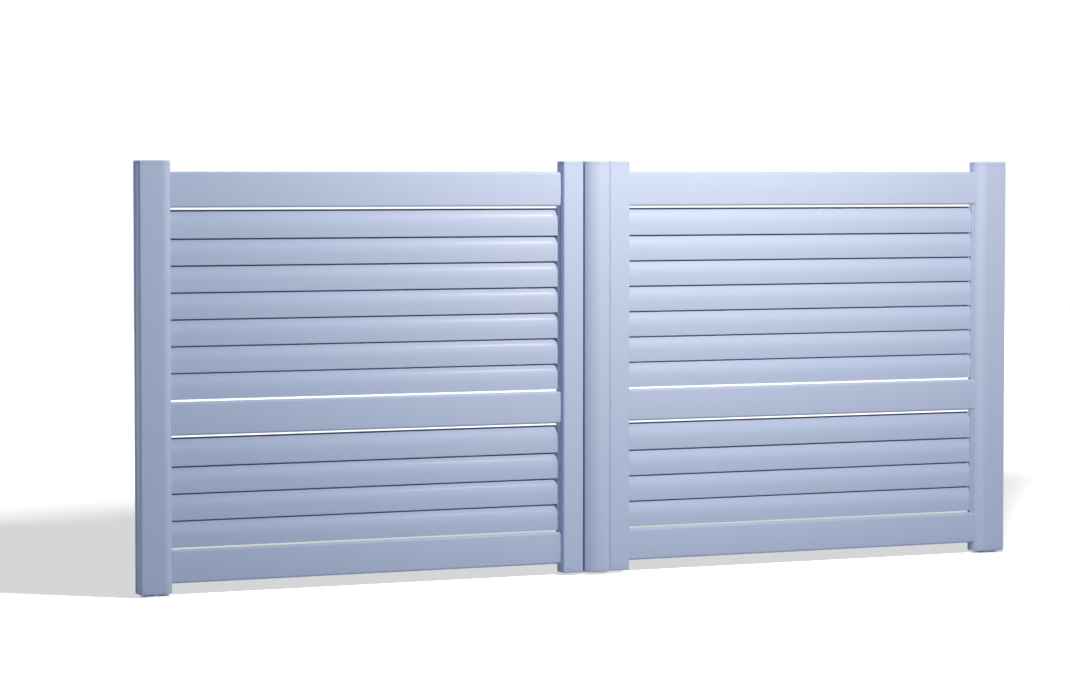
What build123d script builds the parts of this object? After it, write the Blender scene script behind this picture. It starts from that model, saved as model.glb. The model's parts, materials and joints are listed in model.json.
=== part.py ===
from build123d import *
import os

# Aluminium swing gate: two closed leaves of hollow powder-coated extrusions,
# each with two stiles, three rails and overlapping curved slats. A half-round
# cover profile stands on the right leaf, between the two meeting stiles.
#
# Millimetres. +X runs along the gate to the right, the front faces -Y and +Z
# is up. The origin is on the underside of the left floor plate, on the pivot
# axis of the left leaf.

# Whole gate
gate_width = 3500
stile_height = 1500
meeting_gap = 6
floor_clearance = 5

# Stiles
outer_stile_width = 124
outer_stile_depth = 68
meeting_stile_width = 80
meeting_stile_depth = 60
stile_wall = 2.2
stile_corner_radius = 6
slat_side_radius = 40
groove_width = 38
groove_depth = 1.6

# Half-round cover profile
cover_width = 102
cover_rise = 27
cover_wall = 2
cover_corner_radius = 6

# Caps on the ends of the upright profiles
cap_height = 12
cap_edge_bevel = 4
cap_plug_depth = 22
cap_plug_wall = 3
cap_plug_clearance = 0.3

# Rails
rail_depth = 40
rail_setback = 17
rail_wall = 2
rail_crown = 3
rail_corner_radius = 9
rail_hollow_bevel = 5
rail_cope_gap = 0.2
top_rail_height = 124
middle_rail_height = 116
bottom_rail_height = 116
top_rail_drop = 39
middle_rail_lift = 547
bottom_rail_lift = 33

# Slats
slat_setback = 29
slat_height = 99
slat_flat_height = 38
slat_lip_height = 11.5
slat_lip_thickness = 3
slat_foot_depth = 20
slat_nest_gap = 2
slat_least_gap = 2.5
slat_edge_bevel = 1.5
slat_wall = 1.6
slat_end_gap = 11
slat_plug_setback = 5
slat_carrier_width = 7
slat_carrier_depth = 21
panel_gap = 8

# Floor pivots
floor_plate_thickness = 5
floor_plate_width = 92
floor_plate_depth = 54
bolt_spacing_x = 68
bolt_spacing_y = 32
bolt_hole_radius = 4.5
pin_radius = 8
pin_insertion = 26
collar_radius = 13
collar_gap = 0.3
pivot_clearance = 0.05
pivot_boss_wall = 7
bore_end_gap = 2

# Places that follow from the sizes
leaf_width = (gate_width - meeting_gap - cover_width) / 2
pivot_span = gate_width - outer_stile_width
outer_stile_side = outer_stile_width / 2
meeting_stile_centre = leaf_width - (outer_stile_width + meeting_stile_width) / 2
meeting_stile_side = meeting_stile_centre - meeting_stile_width / 2
slat_shift = pivot_span - outer_stile_side - meeting_stile_side
leaf_foot = floor_plate_thickness + floor_clearance
leaf_top = leaf_foot + stile_height
meeting_stile_front = -meeting_stile_depth / 2
rail_centre_y = meeting_stile_front + rail_setback + rail_depth / 2
slat_front = meeting_stile_front + slat_setback
slat_lip_depth = slat_foot_depth + slat_nest_gap
slat_shoulder = slat_height - slat_lip_height
least_slat_pitch = slat_shoulder + slat_least_gap
pivot_bore_radius = pin_radius + pivot_clearance
pivot_bore_depth = pin_insertion + bore_end_gap


def rounded(outline, radii):
    # Round each corner of a plan outline, given by the sides that it lies on.
    for (side_x, side_y), radius in radii.items():
        corner = max(outline.vertices(), key=lambda v: side_x * v.X + side_y * v.Y)
        outline = fillet(corner, radius)
    return outline


def inset(outline, distance):
    return offset(outline, -distance, kind=Kind.INTERSECTION)


def chorded(outline):
    # Straight lines between the corners of an outline, in place of its arcs.
    edges = outline.face().outer_wire().order_edges()
    return make_face(Polyline(*[edge @ 0 for edge in edges], close=True))


def upright(section, bottom, top):
    return extrude(Pos(0, 0, bottom) * section, top - bottom, dir=(0, 0, 1))


def lengthwise(section, left, right):
    # The section is drawn with Y as its first axis and Z as its second.
    return extrude(Plane.YZ.offset(left) * section, right - left, dir=(1, 0, 0))


# Plan outlines of the upright profiles

def outer_stile_outline():
    # The front corner towards the slats is a large quarter round.
    return rounded(Rectangle(outer_stile_width, outer_stile_depth), {
        (-1, -1): stile_corner_radius,
        (-1, 1): stile_corner_radius,
        (1, 1): stile_corner_radius,
        (1, -1): slat_side_radius,
    })


def outer_stile_groove():
    return Pos(-outer_stile_side, 0) * Rectangle(2 * groove_depth, groove_width)


def meeting_stile_outline():
    return RectangleRounded(meeting_stile_width, meeting_stile_depth, stile_corner_radius)


def cover_outline():
    # A box as deep as the meeting stiles, with a bowed front that stands out of them.
    half = cover_width / 2
    front, back = meeting_stile_front, -meeting_stile_front
    box = Polyline((half, front), (half, back), (-half, back), (-half, front))
    bow = ThreePointArc((-half, front), (0, front - cover_rise), (half, front))
    return rounded(make_face(box + bow), {
        (-1, 1): cover_corner_radius,
        (1, 1): cover_corner_radius,
    })


# Sections of the lengthwise profiles

def rail_section(height):
    # Front and back are slightly crowned between rounded corners; the hollow's are bevelled.
    side = rail_depth / 2 - rail_crown
    crown = rail_depth / 2
    half = height / 2
    outline = make_face(
        ThreePointArc((side, -half), (crown, 0), (side, half))
        + Line((side, half), (-side, half))
        + ThreePointArc((-side, half), (-crown, 0), (-side, -half))
        + Line((-side, -half), (side, -half))
    )
    hollow = inset(outline, rail_wall)
    hollow = chamfer(hollow.vertices(), rail_hollow_bevel)
    outline = fillet(outline.vertices(), rail_corner_radius)
    return Pos(rail_centre_y, half) * (outline - hollow)


def slat_body_outline():
    # A flat foot, then a face that curves back to the shoulder below the lip.
    back = slat_lip_depth + slat_lip_thickness
    return make_face(
        Polyline((slat_foot_depth, 0), (0, 0), (0, slat_flat_height))
        + TangentArc((0, slat_flat_height), (slat_lip_depth, slat_shoulder), tangent=(0, 1))
        + Polyline((slat_lip_depth, slat_shoulder), (back, slat_shoulder), (slat_foot_depth, 0))
    )


def slat_outline():
    # The lip stands up behind the foot of the next slat above.
    lip = Pos(slat_lip_depth, slat_shoulder) * Rectangle(
        slat_lip_thickness, slat_lip_height, align=(Align.MIN, Align.MIN)
    )
    outline = slat_body_outline() + lip
    foot_edge = min(outline.vertices(), key=lambda v: v.X + v.Y)
    return chamfer(foot_edge, slat_edge_bevel)


def slat_plug_outline():
    # The slat's own outline, set back behind its front so that it stands in the shade.
    front = Rectangle(2 * slat_plug_setback, 2 * slat_height)
    return slat_outline() - front


# End caps, drawn with the seam at z = 0 and the cap above it

def end_cap(outline, hollow_outline):
    # The ring that enters the tube has its corners cut straight, clear of the hollow's round ones.
    slab = extrude(outline, cap_height)
    slab = chamfer(slab.faces().sort_by(Axis.Z)[-1].edges(), cap_edge_bevel)
    ring = inset(chorded(hollow_outline), cap_plug_clearance)
    return slab + extrude(ring - inset(ring, cap_plug_wall), -cap_plug_depth)


def pivot_cap(outline, hollow_outline):
    # The pivot bore runs through the slab into a block between the tube's walls.
    block_width = 2 * (pivot_bore_radius + pivot_boss_wall)
    block_depth = outer_stile_depth - 2 * (stile_wall + cap_plug_clearance)
    block = extrude(Rectangle(block_width, block_depth), -cap_plug_depth)
    bore = extrude(Pos(0, 0, cap_height) * Circle(pivot_bore_radius), -pivot_bore_depth)
    return end_cap(outline, hollow_outline) + block - bore


def on_top(cap):
    return Pos(0, 0, leaf_top - cap_height) * cap


def at_foot(cap):
    return Pos(0, 0, leaf_foot + cap_height) * mirror(cap, about=Plane.XY)


def capped_profile(outline, hollow_outline, centre_x):
    # An upright tube between its two caps.
    tube = upright(outline - hollow_outline, leaf_foot + cap_height, leaf_top - cap_height)
    cap = end_cap(outline, hollow_outline)
    return Pos(centre_x) * tube, Pos(centre_x) * Compound([on_top(cap), at_foot(cap)])


# One leaf, as the left one: its pivot axis stands at x = 0

def rail(height, bottom):
    # Coped round the outer stile's quarter round, square at the meeting stile.
    bar = lengthwise(Pos(0, bottom) * rail_section(height), 0, meeting_stile_side)
    stile = upright(offset(outer_stile_outline(), rail_cope_gap), leaf_foot, leaf_top)
    return bar - stile


def slat_places(bottom, top):
    # Heights of the slats' feet, as many as fit in the clear space between two rails.
    travel = top - bottom - 2 * panel_gap - slat_height
    steps = int(travel // least_slat_pitch)
    return [bottom + panel_gap + index * travel / steps for index in range(steps + 1)]


def slat_carrier(bottom, top, feet, slat_end):
    # A strip on the stile's side, level with the slats' feet, with a plug for each slat.
    strip_side = meeting_stile_side - slat_carrier_width
    strip = Pos(slat_front, bottom) * Rectangle(
        slat_carrier_depth, top - bottom, align=(Align.MIN, Align.MIN)
    )
    carrier = lengthwise(strip, strip_side, meeting_stile_side)
    plug = lengthwise(Pos(slat_front, 0) * slat_plug_outline(), slat_end, strip_side)
    for foot in feet:
        carrier += Pos(0, 0, foot) * plug
    return carrier


def leaf_pieces():
    pieces = {}

    outline = outer_stile_outline()
    grooved = outline - outer_stile_groove()
    hollow = inset(grooved, stile_wall)
    pieces["outer_stile"] = upright(grooved - hollow, leaf_foot + cap_height, leaf_top - cap_height)
    pivot = pivot_cap(outline, hollow)
    pieces["outer_top_cap"] = on_top(pivot)
    pieces["outer_foot_cap"] = at_foot(pivot)

    outline = meeting_stile_outline()
    pieces["meeting_stile"], pieces["meeting_caps"] = capped_profile(
        outline, inset(outline, stile_wall), meeting_stile_centre
    )

    bottom_rail = leaf_foot + bottom_rail_lift
    middle_rail = leaf_foot + middle_rail_lift
    top_rail = leaf_top - top_rail_drop - top_rail_height
    pieces["bottom_rail"] = rail(bottom_rail_height, bottom_rail)
    pieces["middle_rail"] = rail(middle_rail_height, middle_rail)
    pieces["top_rail"] = rail(top_rail_height, top_rail)

    # The slats are numbered from the top of the leaf
    feet = slat_places(bottom_rail + bottom_rail_height, middle_rail)
    feet += slat_places(middle_rail + middle_rail_height, top_rail)
    feet.sort(reverse=True)
    slat_end = meeting_stile_side - slat_end_gap
    section = slat_outline() - inset(slat_body_outline(), slat_wall)
    slat = lengthwise(Pos(slat_front, 0) * section, outer_stile_side, slat_end)
    for number, foot in enumerate(feet, start=1):
        pieces[f"slat_{number:02d}"] = Pos(0, 0, foot) * slat

    fields = [
        (bottom_rail + bottom_rail_height, middle_rail),
        (middle_rail + middle_rail_height, top_rail),
    ]
    carriers = []
    for bottom, top in fields:
        field_feet = [foot for foot in feet if bottom < foot < top]
        carriers.append(slat_carrier(bottom, top, field_feet, slat_end))
    pieces["slat_plugs"] = Compound(carriers)
    return pieces


# Floor pivot: a bolted plate whose pin carries the leaf on a collar

def floor_pivot():
    plate = extrude(
        Rectangle(floor_plate_width, floor_plate_depth)
        - GridLocations(bolt_spacing_x, bolt_spacing_y, 2, 2) * Circle(bolt_hole_radius),
        floor_plate_thickness,
    )
    collar = upright(Circle(collar_radius), floor_plate_thickness, leaf_foot - collar_gap)
    pin = upright(Circle(pin_radius), floor_plate_thickness, leaf_foot + pin_insertion)
    return plate + collar + pin


def gate_nodes():
    middle = Plane.YZ.offset(pivot_span / 2)
    nodes = {}
    for name, piece in leaf_pieces().items():
        nodes[f"left_{name}"] = piece
        if name.startswith("slat"):
            # In both leaves the slats stand against the left stile.
            nodes[f"right_{name}"] = Pos(slat_shift) * piece
        else:
            nodes[f"right_{name}"] = mirror(piece, about=middle)

    cover = cover_outline()
    cover_centre = leaf_width - outer_stile_side + meeting_gap + cover_width / 2
    nodes["cover_profile"], nodes["cover_caps"] = capped_profile(
        cover, inset(cover, cover_wall), cover_centre
    )

    nodes["left_floor_pivot"] = floor_pivot()
    nodes["right_floor_pivot"] = mirror(floor_pivot(), about=middle)
    return nodes


os.makedirs("parts", exist_ok=True)
for name, shape in gate_nodes().items():
    export_step(shape, f"parts/{name}.step")
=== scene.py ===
import json
import math

import bmesh
import bpy
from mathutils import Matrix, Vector
from mathutils.geometry import tessellate_polygon


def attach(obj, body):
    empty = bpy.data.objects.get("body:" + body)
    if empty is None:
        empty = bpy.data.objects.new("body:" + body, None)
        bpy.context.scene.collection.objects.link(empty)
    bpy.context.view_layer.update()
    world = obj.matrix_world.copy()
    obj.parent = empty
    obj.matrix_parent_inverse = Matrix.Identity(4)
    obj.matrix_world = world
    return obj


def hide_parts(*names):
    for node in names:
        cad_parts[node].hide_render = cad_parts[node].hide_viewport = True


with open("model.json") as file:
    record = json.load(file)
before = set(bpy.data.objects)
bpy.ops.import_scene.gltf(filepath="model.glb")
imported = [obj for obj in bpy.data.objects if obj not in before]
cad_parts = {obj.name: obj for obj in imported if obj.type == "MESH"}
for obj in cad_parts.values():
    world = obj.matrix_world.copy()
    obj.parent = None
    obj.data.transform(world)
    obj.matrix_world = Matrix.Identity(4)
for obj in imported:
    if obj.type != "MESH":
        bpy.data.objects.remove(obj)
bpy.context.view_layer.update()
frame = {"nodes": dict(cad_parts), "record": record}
nodes = frame["nodes"]
scene = bpy.context.scene
mm = 0.001  # the shapes' sizes are in millimetres, the camera's and lamps' places in metres
print("frame loaded,", len(nodes), "nodes")


# Camera: a long lens at chest height, turned towards the right leaf

cameraView = {
    "place": (-3.943, -11.539, 1.456),
    "heading": 25.06,  # degrees from +Y towards +X
    "tilt": 2.67,  # degrees below the horizon
    "lens": 118.27,
    "sensor": 36.0,
    "clipEnd": 200.0,
}


def makeCamera():
    data = bpy.data.cameras.new("gateCamera")
    data.lens = cameraView["lens"]
    data.sensor_width = cameraView["sensor"]
    data.sensor_fit = "HORIZONTAL"
    data.clip_end = cameraView["clipEnd"]
    camera = bpy.data.objects.new("gateCamera", data)
    camera.location = cameraView["place"]
    camera.rotation_euler = (
        math.radians(90 - cameraView["tilt"]),
        0,
        math.radians(-cameraView["heading"]),
    )
    scene.collection.objects.link(camera)
    scene.camera = camera


makeCamera()
print("camera placed")


# Node helpers

def newMaterial(name):
    material = bpy.data.materials.new(name)
    material.use_nodes = True
    tree = material.node_tree
    tree.nodes.clear()
    output = tree.nodes.new("ShaderNodeOutputMaterial")
    return material, tree, output


def addNode(tree, kind, **settings):
    node = tree.nodes.new(kind)
    for name, value in settings.items():
        setattr(node, name, value)
    return node


def setInputs(node, **values):
    # An underscore in a name stands for the space in the input's name.
    for name, value in values.items():
        node.inputs[name.replace("_", " ")].default_value = value


def newGroup(name, inputs, outputs):
    group = bpy.data.node_groups.new(name, "ShaderNodeTree")
    for direction, sockets in (("INPUT", inputs), ("OUTPUT", outputs)):
        for label, kind in sockets:
            group.interface.new_socket(label, in_out=direction, socket_type=kind)
    start = group.nodes.new("NodeGroupInput")
    end = group.nodes.new("NodeGroupOutput")
    return group, start, end


# Floor, lamps and world

lamps = {
    "key": {
        "place": (2.11, -2.02, 2.7),
        "radius": 0.18,
        "power": 300.0,
        "color": (1.0, 0.925, 0.75),
    },
    "shine": {
        "place": (2.95, -1.85, 3.73),
        "radius": 0.15,
        "power": 210.0,
        "color": (1.0, 0.62, 0.32),
    },
    "floor": {
        "place": (2.09, -1.87, 2.28),
        "radius": 0.26,
        "power": 1.0,
        "color": (1.0, 1.0, 1.0),
        "strength": 500.0,
    },
}

ambientLight = {
    "color": (0.89, 1.24, 1.94, 1.0),
    "strength": 0.25,
    "seenColor": (1.0, 1.0, 1.0, 1.0),
}

floorLook = {
    "size": 40.0,
    "bounceColor": (0.038, 0.038, 0.038, 1.0),
    "catchColor": (0.1, 0.1, 0.1, 1.0),
    "shadowLevel": 0.655,
    "whiteLevel": 1.0,
    "centre": (1.688, 0.0, 0.0),
    "shadowReach": 7.5,
    "whiteReach": 11.0,
}


def addSeenRays(tree):
    # One for camera, mirrored and transmitted rays, nought for the rest.
    path = addNode(tree, "ShaderNodeLightPath")
    either = addNode(tree, "ShaderNodeMath", operation="MAXIMUM")
    tree.links.new(path.outputs["Is Camera Ray"], either.inputs[0])
    tree.links.new(path.outputs["Is Glossy Ray"], either.inputs[1])
    seen = addNode(tree, "ShaderNodeMath", operation="MAXIMUM")
    tree.links.new(either.outputs["Value"], seen.inputs[0])
    tree.links.new(path.outputs["Is Transmission Ray"], seen.inputs[1])
    return seen.outputs["Value"]


def makeFloorMaterial():
    # Seen directly, the floor faces its lamp all over, and its own glow rises to white far away.
    material, tree, output = newMaterial("paleFloor")
    bounce = addNode(tree, "ShaderNodeBsdfDiffuse")
    setInputs(bounce, Color=floorLook["bounceColor"])
    place = addNode(tree, "ShaderNodeNewGeometry")
    toLamp = addNode(tree, "ShaderNodeVectorMath", operation="SUBTRACT")
    toLamp.inputs[0].default_value = lamps["floor"]["place"]
    tree.links.new(place.outputs["Position"], toLamp.inputs[1])
    facing = addNode(tree, "ShaderNodeVectorMath", operation="NORMALIZE")
    tree.links.new(toLamp.outputs["Vector"], facing.inputs[0])
    catch = addNode(tree, "ShaderNodeBsdfDiffuse")
    setInputs(catch, Color=floorLook["catchColor"])
    tree.links.new(facing.outputs["Vector"], catch.inputs["Normal"])
    away = addNode(tree, "ShaderNodeVectorMath", operation="DISTANCE")
    away.inputs[1].default_value = floorLook["centre"]
    tree.links.new(place.outputs["Position"], away.inputs[0])
    level = addNode(tree, "ShaderNodeMapRange")
    setInputs(
        level,
        From_Min=floorLook["shadowReach"],
        From_Max=floorLook["whiteReach"],
        To_Min=floorLook["shadowLevel"],
        To_Max=floorLook["whiteLevel"],
    )
    tree.links.new(away.outputs["Value"], level.inputs["Value"])
    glow = addNode(tree, "ShaderNodeEmission")
    tree.links.new(level.outputs["Result"], glow.inputs["Strength"])
    seen = addNode(tree, "ShaderNodeAddShader")
    tree.links.new(catch.outputs["BSDF"], seen.inputs[0])
    tree.links.new(glow.outputs["Emission"], seen.inputs[1])
    mix = addNode(tree, "ShaderNodeMixShader")
    tree.links.new(addSeenRays(tree), mix.inputs["Fac"])
    tree.links.new(bounce.outputs["BSDF"], mix.inputs[1])
    tree.links.new(seen.outputs["Shader"], mix.inputs[2])
    tree.links.new(mix.outputs["Shader"], output.inputs["Surface"])
    return material


def makeFloor():
    half = floorLook["size"] / 2
    corners = [(-half, -half, 0), (half, -half, 0), (half, half, 0), (-half, half, 0)]
    mesh = bpy.data.meshes.new("floor")
    mesh.from_pydata(corners, [], [(0, 1, 2, 3)])
    mesh.materials.append(makeFloorMaterial())
    floor = bpy.data.objects.new("floor", mesh)
    scene.collection.objects.link(floor)
    return floor


def makeLamp(name, values):
    data = bpy.data.lights.new(name, "POINT")
    data.energy = values["power"]
    data.color = values["color"]
    data.shadow_soft_size = values["radius"]
    lamp = bpy.data.objects.new(name, data)
    lamp.location = values["place"]
    lamp.visible_camera = False
    scene.collection.objects.link(lamp)
    return lamp


def linkCollection(name, pieces, state):
    collection = bpy.data.collections.new(name)
    for piece in pieces:
        collection.objects.link(piece)
    for row in collection.collection_objects:
        row.light_linking.link_state = state
    return collection


def linkLamp(lamp, pieces, state):
    receivers = linkCollection(lamp.name + "Receivers", pieces, state)
    lamp.light_linking.receiver_collection = receivers


def makeFloorLamp(floor):
    # Reaches the floor alone, at one strength all over, for an even shadow.
    lamp = makeLamp("floorLamp", lamps["floor"])
    lamp.data.use_nodes = True
    tree = lamp.data.node_tree
    tree.nodes.clear()
    output = addNode(tree, "ShaderNodeOutputLight")
    glow = addNode(tree, "ShaderNodeEmission")
    falloff = addNode(tree, "ShaderNodeLightFalloff")
    setInputs(falloff, Strength=lamps["floor"]["strength"])
    tree.links.new(falloff.outputs["Constant"], glow.inputs["Strength"])
    tree.links.new(glow.outputs["Emission"], output.inputs["Surface"])
    linkLamp(lamp, [floor], "INCLUDE")


def makeKeyLamp(name):
    # Without a mirror image of its own: the shine lamp gives the highlight.
    lamp = makeLamp(name, lamps["key"])
    lamp.visible_glossy = False
    return lamp


def makeShineLamp(floor):
    lamp = makeLamp("shineLamp", lamps["shine"])
    lamp.visible_diffuse = False
    linkLamp(lamp, [floor], "EXCLUDE")


def makeWorld():
    world = bpy.data.worlds.new("studio")
    scene.world = world
    world.use_nodes = True
    tree = world.node_tree
    tree.nodes.clear()
    output = addNode(tree, "ShaderNodeOutputWorld")
    seenBy = addSeenRays(tree)
    ambient = addNode(tree, "ShaderNodeBackground")
    setInputs(ambient, Color=ambientLight["color"], Strength=ambientLight["strength"])
    white = addNode(tree, "ShaderNodeBackground")
    setInputs(white, Color=ambientLight["seenColor"])
    mix = addNode(tree, "ShaderNodeMixShader")
    tree.links.new(seenBy, mix.inputs["Fac"])
    tree.links.new(ambient.outputs["Background"], mix.inputs[1])
    tree.links.new(white.outputs["Background"], mix.inputs[2])
    tree.links.new(mix.outputs["Shader"], output.inputs["Surface"])


makeWorld()
floor = makeFloor()
makeFloorLamp(floor)
keyLamp = makeKeyLamp("keyLamp")
makeShineLamp(floor)
scene.view_settings.view_transform = "Standard"
print("floor, lamps and world ready")


# Finishes

noiseLook = {
    "cloudDetail": 3.0,
    "cloudRoughness": 0.55,
    "grainDetail": 2.0,
    "grainRoughness": 0.5,
    "middle": 0.5,
}


def makeGrainGroup():
    # Orange peel, cloudy gloss and faint shifts of shade in a sprayed or moulded surface.
    group, start, end = newGroup(
        "surfaceGrain",
        [
            ("Color", "NodeSocketColor"),
            ("Shade Shift", "NodeSocketFloat"),
            ("Cloud Scale", "NodeSocketFloat"),
            ("Roughness", "NodeSocketFloat"),
            ("Roughness Shift", "NodeSocketFloat"),
            ("Grain Scale", "NodeSocketFloat"),
        ],
        [
            ("Color", "NodeSocketColor"),
            ("Roughness", "NodeSocketFloat"),
            ("Height", "NodeSocketFloat"),
        ],
    )
    coordinates = addNode(group, "ShaderNodeTexCoord")
    cloud = addNode(group, "ShaderNodeTexNoise")
    setInputs(cloud, Detail=noiseLook["cloudDetail"], Roughness=noiseLook["cloudRoughness"])
    group.links.new(coordinates.outputs["Object"], cloud.inputs["Vector"])
    group.links.new(start.outputs["Cloud Scale"], cloud.inputs["Scale"])
    centred = addNode(group, "ShaderNodeMath", operation="SUBTRACT")
    centred.inputs[1].default_value = noiseLook["middle"]
    group.links.new(cloud.outputs["Fac"], centred.inputs[0])
    shade = addNode(group, "ShaderNodeMath", operation="MULTIPLY_ADD")
    shade.inputs[2].default_value = 1.0
    group.links.new(centred.outputs["Value"], shade.inputs[0])
    group.links.new(start.outputs["Shade Shift"], shade.inputs[1])
    tinted = addNode(group, "ShaderNodeVectorMath", operation="SCALE")
    group.links.new(start.outputs["Color"], tinted.inputs[0])
    group.links.new(shade.outputs["Value"], tinted.inputs["Scale"])
    group.links.new(tinted.outputs["Vector"], end.inputs["Color"])
    rough = addNode(group, "ShaderNodeMath", operation="MULTIPLY_ADD")
    group.links.new(centred.outputs["Value"], rough.inputs[0])
    group.links.new(start.outputs["Roughness Shift"], rough.inputs[1])
    group.links.new(start.outputs["Roughness"], rough.inputs[2])
    group.links.new(rough.outputs["Value"], end.inputs["Roughness"])
    grain = addNode(group, "ShaderNodeTexNoise")
    setInputs(grain, Detail=noiseLook["grainDetail"], Roughness=noiseLook["grainRoughness"])
    group.links.new(coordinates.outputs["Object"], grain.inputs["Vector"])
    group.links.new(start.outputs["Grain Scale"], grain.inputs["Scale"])
    group.links.new(grain.outputs["Fac"], end.inputs["Height"])
    return group


surfaceGrain = makeGrainGroup()

finishes = {
    "satinCoat": {
        "color": (0.48, 0.55, 0.735),
        "shadeShift": 0.015,
        "cloudScale": 1.5,
        "roughness": 0.27,
        "roughnessShift": 0.02,
        "grainScale": 420.0,
        "bumpStrength": 0.06,
        "bumpDepth": 0.0004,
        "specular": 0.16,
        "metallic": 0.0,
    },
    # Painted shade: a dark coat for the lips' fronts, standing in for the shade deep in the slots
    # between slats.
    "paintedSlotShade": {
        "color": (0.095, 0.14, 0.26),
        "shadeShift": 0.03,
        "cloudScale": 1.5,
        "roughness": 0.6,
        "roughnessShift": 0.05,
        "grainScale": 420.0,
        "bumpStrength": 0.06,
        "bumpDepth": 0.0004,
        "specular": 0.1,
        "metallic": 0.0,
    },
    "capPlastic": {
        "color": (0.465, 0.535, 0.72),
        "shadeShift": 0.02,
        "cloudScale": 6.0,
        "roughness": 0.48,
        "roughnessShift": 0.05,
        "grainScale": 900.0,
        "bumpStrength": 0.1,
        "bumpDepth": 0.0003,
        "specular": 0.2,
        "metallic": 0.0,
    },
    "pivotSteel": {
        "color": (0.50, 0.51, 0.53),
        "shadeShift": 0.15,
        "cloudScale": 30.0,
        "roughness": 0.36,
        "roughnessShift": 0.2,
        "grainScale": 700.0,
        "bumpStrength": 0.12,
        "bumpDepth": 0.0002,
        "specular": 0.5,
        "metallic": 1.0,
    },
    "screwSteel": {
        "color": (0.40, 0.41, 0.43),
        "shadeShift": 0.2,
        "cloudScale": 60.0,
        "roughness": 0.3,
        "roughnessShift": 0.2,
        "grainScale": 1500.0,
        "bumpStrength": 0.1,
        "bumpDepth": 0.0001,
        "specular": 0.5,
        "metallic": 1.0,
    },
}


def makeFinish(name):
    values = finishes[name]
    material, tree, output = newMaterial(name)
    grain = addNode(tree, "ShaderNodeGroup", node_tree=surfaceGrain)
    setInputs(
        grain,
        Color=(*values["color"], 1.0),
        Shade_Shift=values["shadeShift"],
        Cloud_Scale=values["cloudScale"],
        Roughness=values["roughness"],
        Roughness_Shift=values["roughnessShift"],
        Grain_Scale=values["grainScale"],
    )
    bump = addNode(tree, "ShaderNodeBump")
    setInputs(bump, Strength=values["bumpStrength"], Distance=values["bumpDepth"])
    tree.links.new(grain.outputs["Height"], bump.inputs["Height"])
    shader = addNode(tree, "ShaderNodeBsdfPrincipled")
    setInputs(shader, Specular_IOR_Level=values["specular"], Metallic=values["metallic"])
    tree.links.new(grain.outputs["Color"], shader.inputs["Base Color"])
    tree.links.new(grain.outputs["Roughness"], shader.inputs["Roughness"])
    tree.links.new(bump.outputs["Normal"], shader.inputs["Normal"])
    tree.links.new(shader.outputs["BSDF"], output.inputs["Surface"])
    return material


materials = {name: makeFinish(name) for name in finishes}
slotFinish = {
    "stiles": "satinCoat",
    "rails": "satinCoat",
    "slats": "satinCoat",
    "slat_plugs": "satinCoat",
    "end_caps": "capPlastic",
    "pivot_steel": "pivotSteel",
}


def dressNodes():
    for part in frame["record"]["subparts"]:
        node = nodes[part["node"]]
        finish = materials[slotFinish[part["material_slot"]]]
        for slot in node.material_slots:
            slot.material = finish


dressNodes()
print("finishes ready")


# Mesh helpers

sharpAngle = 40.0  # degrees between two faces, above which their edge stays sharp


def arcPoints(centre, radius, start, end, steps):
    points = []
    for step in range(steps + 1):
        angle = math.radians(start + (end - start) * step / steps)
        points.append((centre[0] + radius * math.cos(angle), centre[1] + radius * math.sin(angle)))
    return points


def circlePoints(radius, steps):
    return arcPoints((0, 0), radius, 0, 360 - 360 / steps, steps - 1)


def addRing(mesh, points, height, toPlace):
    return [mesh.verts.new(toPlace(x, y, height)) for x, y in points]


def joinRings(mesh, rings):
    for lower, upper in zip(rings, rings[1:]):
        count = len(lower)
        for index in range(count):
            after = (index + 1) % count
            mesh.faces.new((lower[index], lower[after], upper[after], upper[index]))


def closeRing(mesh, ring, hole=()):
    loops = [[vertex.co for vertex in ring]]
    if hole:
        loops.append([vertex.co for vertex in hole])
    corners = list(ring) + list(hole)
    for triangle in tessellate_polygon(loops):
        mesh.faces.new([corners[index] for index in triangle])


def finishMesh(name, mesh, finish):
    bmesh.ops.recalc_face_normals(mesh, faces=mesh.faces)
    data = bpy.data.meshes.new(name)
    mesh.to_mesh(data)
    mesh.free()
    data.shade_smooth()
    data.set_sharp_from_angle(angle=math.radians(sharpAngle))
    data.materials.append(materials[finish])
    piece = bpy.data.objects.new(name, data)
    scene.collection.objects.link(piece)
    return piece


# Caps on the upright profiles, with rounded edges and a shadow gap at the seam

capShape = {
    "height": 12.0,
    "edgeRadius": 5.5,
    "edgeSteps": 7,
    "seamHeight": 0.4,
    "seamInset": 0.7,
    "seamRound": 0.2,
    "flatMargin": 0.3,
    "leastShare": 0.3,  # keeps a sharp corner from moving too far inwards
    "legBottom": 10.0,
    "legTop": 1510.0,
}

uprights = {
    "gateWidth": 3500.0,
    "outerWidth": 124.0,
    "outerDepth": 68.0,
    "slatSideRadius": 40.0,
    "cornerRadius": 6.0,
    "meetingWidth": 80.0,
    "meetingDepth": 60.0,
    "meetingGap": 6.0,
    "coverWidth": 102.0,
    "coverRise": 27.0,
    "cornerSteps": 8,
    "bigCornerSteps": 20,
    "bowSteps": 28,
}

# Places along the gate, from the left leaf's pivot
pivotSpan = uprights["gateWidth"] - uprights["outerWidth"]
leafWidth = (uprights["gateWidth"] - uprights["meetingGap"] - uprights["coverWidth"]) / 2
leafEnd = leafWidth - uprights["outerWidth"] / 2
coverStart = leafEnd + uprights["meetingGap"]
leftMeetingX = leafEnd - uprights["meetingWidth"] / 2
coverX = coverStart + uprights["coverWidth"] / 2
rightMeetingX = coverStart + uprights["coverWidth"] + uprights["meetingWidth"] / 2

boreShape = {
    "radius": 8.05,
    "depth": 28.0,
    "bushRadius": 11.0,
    "bushSink": 0.6,
    "bushRound": 0.5,
    "steps": 32,
}


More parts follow.
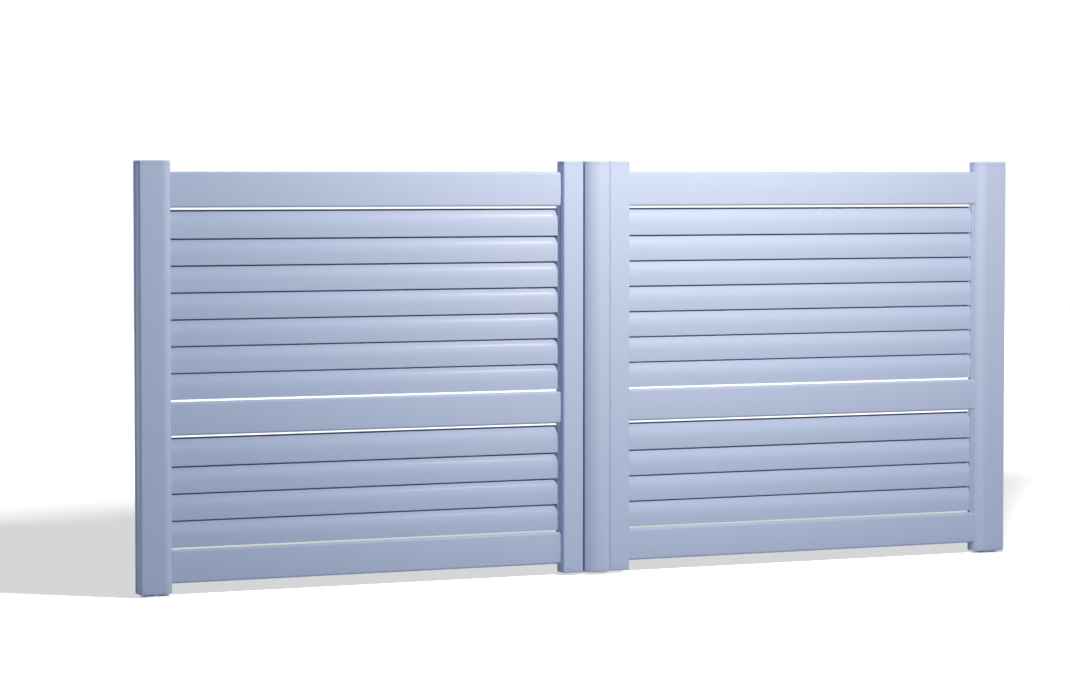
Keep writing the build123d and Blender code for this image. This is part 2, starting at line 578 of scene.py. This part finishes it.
def roundedPlan(width, depth, radii, steps):
    # Corners in turn: front left, front right, back right, back left.
    halfWidth, halfDepth = width / 2, depth / 2
    sides = [(-1, -1, 180), (1, -1, 270), (1, 1, 0), (-1, 1, 90)]
    points = []
    for (sideX, sideY, start), radius, count in zip(sides, radii, steps):
        centre = (sideX * (halfWidth - radius), sideY * (halfDepth - radius))
        points += arcPoints(centre, radius, start, start + 90, count)
    return points


def outerPlan(mirrored):
    small, big = uprights["cornerRadius"], uprights["slatSideRadius"]
    few, many = uprights["cornerSteps"], uprights["bigCornerSteps"]
    radii = (big, small, small, small) if mirrored else (small, big, small, small)
    steps = (many, few, few, few) if mirrored else (few, many, few, few)
    return roundedPlan(uprights["outerWidth"], uprights["outerDepth"], radii, steps)


def meetingPlan():
    small, few = uprights["cornerRadius"], uprights["cornerSteps"]
    return roundedPlan(uprights["meetingWidth"], uprights["meetingDepth"], [small] * 4, [few] * 4)


def coverPlan():
    # The bowed front between two sharp corners, then the two round back corners.
    half, front = uprights["coverWidth"] / 2, -uprights["meetingDepth"] / 2
    rise, small, few = uprights["coverRise"], uprights["cornerRadius"], uprights["cornerSteps"]
    bowRadius = (half * half + rise * rise) / (2 * rise)
    reach = math.degrees(math.asin(half / bowRadius))
    bow = arcPoints((0, front - rise + bowRadius), bowRadius, 270 - reach, 270 + reach,
                    uprights["bowSteps"])
    right = arcPoints((half - small, -front - small), small, 0, 90, few)
    left = arcPoints((small - half, -front - small), small, 90, 180, few)
    return bow + right + left


def insetPlan(points, distance):
    # The outline runs counterclockwise, so its inside lies to the left of each edge.
    moved = []
    for index, here in enumerate(points):
        before, after = points[index - 1], points[(index + 1) % len(points)]
        first = Vector((here[0] - before[0], here[1] - before[1])).normalized()
        second = Vector((after[0] - here[0], after[1] - here[1])).normalized()
        normal = Vector((-first.y - second.y, first.x + second.x)).normalized()
        share = max(capShape["leastShare"], normal.dot(Vector((-first.y, first.x))))
        moved.append((here[0] + normal.x * distance / share, here[1] + normal.y * distance / share))
    return moved


def capRings():
    # Height above the seam and inset of each ring, from the seam to the top.
    height, radius, steps = capShape["height"], capShape["edgeRadius"], capShape["edgeSteps"]
    gap, deep, small = capShape["seamHeight"], capShape["seamInset"], capShape["seamRound"]
    rings = [(0.0, deep), (gap, deep), (gap, small), (gap + small, 0.0)]
    for step in range(steps + 1):
        angle = math.pi / 2 * step / steps
        rings.append((height - radius + radius * math.sin(angle), radius * (1 - math.cos(angle))))
    rings.append((height, radius + capShape["flatMargin"]))
    return rings


def addCap(mesh, plan, centreX, top, withBore):
    # Built upwards from the seam, or downwards for a foot cap.
    turn = 1 if top else -1
    outside = capShape["legTop"] if top else capShape["legBottom"]
    seam = outside - turn * capShape["height"]

    def toPlace(x, y, height):
        return ((centreX + x) * mm, y * mm, (seam + turn * height) * mm)

    rings = [addRing(mesh, insetPlan(plan, inset), height, toPlace) for height, inset in capRings()]
    joinRings(mesh, rings)
    closeRing(mesh, rings[0])
    if not withBore:
        closeRing(mesh, rings[-1])
        return
    height, steps = capShape["height"], boreShape["steps"]
    radius, bushRadius = boreShape["radius"], boreShape["bushRadius"]
    bushTop, small = height - boreShape["bushSink"], boreShape["bushRound"]
    mouth = addRing(mesh, circlePoints(bushRadius, steps), height, toPlace)
    closeRing(mesh, rings[-1], mouth)
    bore = [
        mouth,
        addRing(mesh, circlePoints(bushRadius, steps), bushTop, toPlace),
        addRing(mesh, circlePoints(radius + small, steps), bushTop, toPlace),
        addRing(mesh, circlePoints(radius, steps), bushTop - small, toPlace),
        addRing(mesh, circlePoints(radius, steps), height - boreShape["depth"], toPlace),
    ]
    joinRings(mesh, bore)
    closeRing(mesh, bore[-1])


def makeCaps():
    rows = [
        ("left_outer_top_cap", "left_leaf", [(outerPlan(False), 0.0, True, True)]),
        ("left_outer_foot_cap", "left_leaf", [(outerPlan(False), 0.0, False, True)]),
        ("right_outer_top_cap", "right_leaf", [(outerPlan(True), pivotSpan, True, True)]),
        ("right_outer_foot_cap", "right_leaf", [(outerPlan(True), pivotSpan, False, True)]),
    ]
    pairs = [
        ("left_meeting_caps", "left_leaf", meetingPlan(), leftMeetingX),
        ("right_meeting_caps", "right_leaf", meetingPlan(), rightMeetingX),
        ("cover_caps", "right_leaf", coverPlan(), coverX),
    ]
    for node, body, plan, centreX in pairs:
        rows.append((node, body, [(plan, centreX, True, False), (plan, centreX, False, False)]))
    for node, body, caps in rows:
        mesh = bmesh.new()
        for plan, centreX, top, withBore in caps:
            addCap(mesh, plan, centreX, top, withBore)
        piece = finishMesh("rounded_" + node, mesh, "capPlastic")
        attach(piece, body)
        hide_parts(node)


makeCaps()
print("caps ready")


# Anchor screws in the floor plates

screwShape = {
    "spacingX": 68.0,
    "spacingY": 32.0,
    "headRadius": 4.3,
    "headBottom": 0.2,
    "headTop": 4.7,
    "headRound": 0.5,
    "socketWidth": 4.0,
    "socketDepth": 2.4,
    "socketSides": 6,
    "steps": 24,
}


def addScrew(mesh, centreX, centreY):
    top, radius, small = screwShape["headTop"], screwShape["headRadius"], screwShape["headRound"]
    steps, sides = screwShape["steps"], screwShape["socketSides"]
    bulge = small / 3  # one ring stands this far inside the corner that the round takes off

    def toPlace(x, y, height):
        return ((centreX + x) * mm, (centreY + y) * mm, height * mm)

    head = [
        addRing(mesh, circlePoints(radius, steps), screwShape["headBottom"], toPlace),
        addRing(mesh, circlePoints(radius, steps), top - small, toPlace),
        addRing(mesh, circlePoints(radius - bulge, steps), top - bulge, toPlace),
        addRing(mesh, circlePoints(radius - small, steps), top, toPlace),
    ]
    joinRings(mesh, head)
    closeRing(mesh, head[0])
    socketReach = screwShape["socketWidth"] / math.sqrt(3)
    socket = [
        addRing(mesh, circlePoints(socketReach, sides), top, toPlace),
        addRing(mesh, circlePoints(socketReach, sides), top - screwShape["socketDepth"], toPlace),
    ]
    closeRing(mesh, head[-1], socket[0])
    joinRings(mesh, socket)
    closeRing(mesh, socket[1])


def makeScrews():
    for side, centreX in (("left", 0.0), ("right", pivotSpan)):
        mesh = bmesh.new()
        for signX in (-1, 1):
            for signY in (-1, 1):
                addScrew(
                    mesh,
                    centreX + signX * screwShape["spacingX"] / 2,
                    signY * screwShape["spacingY"] / 2,
                )
        piece = finishMesh(side + "_anchor_screws", mesh, "screwSteel")
        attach(piece, "floor_pivots")


makeScrews()
print("anchor screws ready")


# Slats: the flat foot, the face that curves back, and the lip behind the next slat

slatShape = {
    "front": -1.0,
    "footDepth": 20.0,
    "flatHeight": 38.0,
    "lipDepth": 22.0,
    "lipThickness": 3.0,
    "lipOverlap": 1.0,  # how far the lip reaches down into the face's shoulder
    "lipFrontFacing": -0.9,  # faces whose normal's Y is below this are the lips' fronts
    "shoulder": 87.5,
    "topShoulder": 93.0,  # of each field's top slat, which no foot covers
    "height": 99.0,
    "footRound": 1.5,
    "lipRound": 0.8,
    "roundSteps": 4,
    "curveSteps": 24,
    "endGap": 11.0,
    "stripWidth": 7.0,
    "fields": ((1240.0, 681.0, 7), (450.0, 167.0, 4)),  # highest foot, lowest foot, count
}

# In both leaves the slats stand against the left-hand stile. Their lips end at the strip on the
# right-hand one, and their faces a little before it.
fieldLength = leafEnd - uprights["meetingWidth"] - uprights["outerWidth"] / 2
slatLength = fieldLength - slatShape["endGap"]
lipLength = fieldLength - slatShape["stripWidth"]
slatStarts = {
    "left": uprights["outerWidth"] / 2,
    "right": rightMeetingX + uprights["meetingWidth"] / 2,
}


def slatFeet():
    feet = []
    for highest, lowest, count in slatShape["fields"]:
        feet += [highest - step * (highest - lowest) / (count - 1) for step in range(count)]
    return feet


def facePlan(shoulder):
    # Depth behind the slat's front and height above its foot, round the closed face.
    small, flat, deep = slatShape["footRound"], slatShape["flatHeight"], slatShape["lipDepth"]
    rise = shoulder - flat
    radius = (deep * deep + rise * rise) / (2 * deep)
    reach = math.degrees(math.asin(rise / radius))
    foot = arcPoints((small, small), small, 270, 180, slatShape["roundSteps"])
    curve = arcPoints((radius, flat), radius, 180, 180 - reach, slatShape["curveSteps"])
    back = deep + slatShape["lipThickness"]
    return foot + curve + [(back, shoulder), (slatShape["footDepth"], 0.0)]


def lipPlan(shoulder):
    deep, small = slatShape["lipDepth"], slatShape["lipRound"]
    back, top = deep + slatShape["lipThickness"], slatShape["height"]
    bottom = shoulder - slatShape["lipOverlap"]
    front = arcPoints((deep + small, top - small), small, 180, 90, slatShape["roundSteps"])
    rear = arcPoints((back - small, top - small), small, 90, 0, slatShape["roundSteps"])
    return [(deep, bottom)] + front + rear + [(back, bottom)]


def addLength(mesh, plan, left, foot, length):
    ends = []
    for x in (left, left + length):
        ends.append([
            mesh.verts.new((x * mm, (slatShape["front"] + depth) * mm, (foot + height) * mm))
            for depth, height in plan
        ])
    joinRings(mesh, ends)
    for ring in ends:
        mesh.faces.new(ring)


def makeSlats():
    slats, lips = [], []
    highestFeet = [field[0] for field in slatShape["fields"]]
    for side in ("left", "right"):
        left = slatStarts[side]
        lipMesh = bmesh.new()
        for number, foot in enumerate(slatFeet(), start=1):
            shoulder = slatShape["topShoulder" if foot in highestFeet else "shoulder"]
            mesh = bmesh.new()
            addLength(mesh, facePlan(shoulder), left, foot, slatLength)
            slat = finishMesh(f"{side}_slat_face_{number:02d}", mesh, "satinCoat")
            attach(slat, side + "_leaf")
            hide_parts(f"{side}_slat_{number:02d}")
            slats.append(slat)
            addLength(lipMesh, lipPlan(shoulder), left, foot, lipLength)
        lip = finishMesh(side + "_slat_lips", lipMesh, "satinCoat")
        # The lips' fronts show only in the slots, which the photograph has in deep shade; these
        # fronts get a dark coat that is painted shade, not the lips' own colour.
        lip.data.materials.append(materials["paintedSlotShade"])
        for face in lip.data.polygons:
            face.material_index = 1 if face.normal.y < slatShape["lipFrontFacing"] else 0
        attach(lip, side + "_leaf")
        lips.append(lip)
    return slats, lips


slats, lips = makeSlats()
print("slats ready")


# The slats and their strips have their own lamp at the key lamp's place, which slats, lips and
# rails don't shade: the photograph shows each face lit right up to the slot above it.

def makeSlatLamp(lit, unshading):
    lamp = makeKeyLamp("slatLamp")
    linkLamp(lamp, lit, "INCLUDE")
    shades = linkCollection("slatLampShades", unshading, "EXCLUDE")
    lamp.light_linking.blocker_collection = shades


rails = [piece for name, piece in nodes.items() if name.endswith("_rail")]
litSlats = slats + [nodes["left_slat_plugs"], nodes["right_slat_plugs"]]
makeSlatLamp(litSlats, slats + lips + rails)
linkLamp(keyLamp, [floor] + litSlats + lips, "EXCLUDE")
print("slat lamp ready")
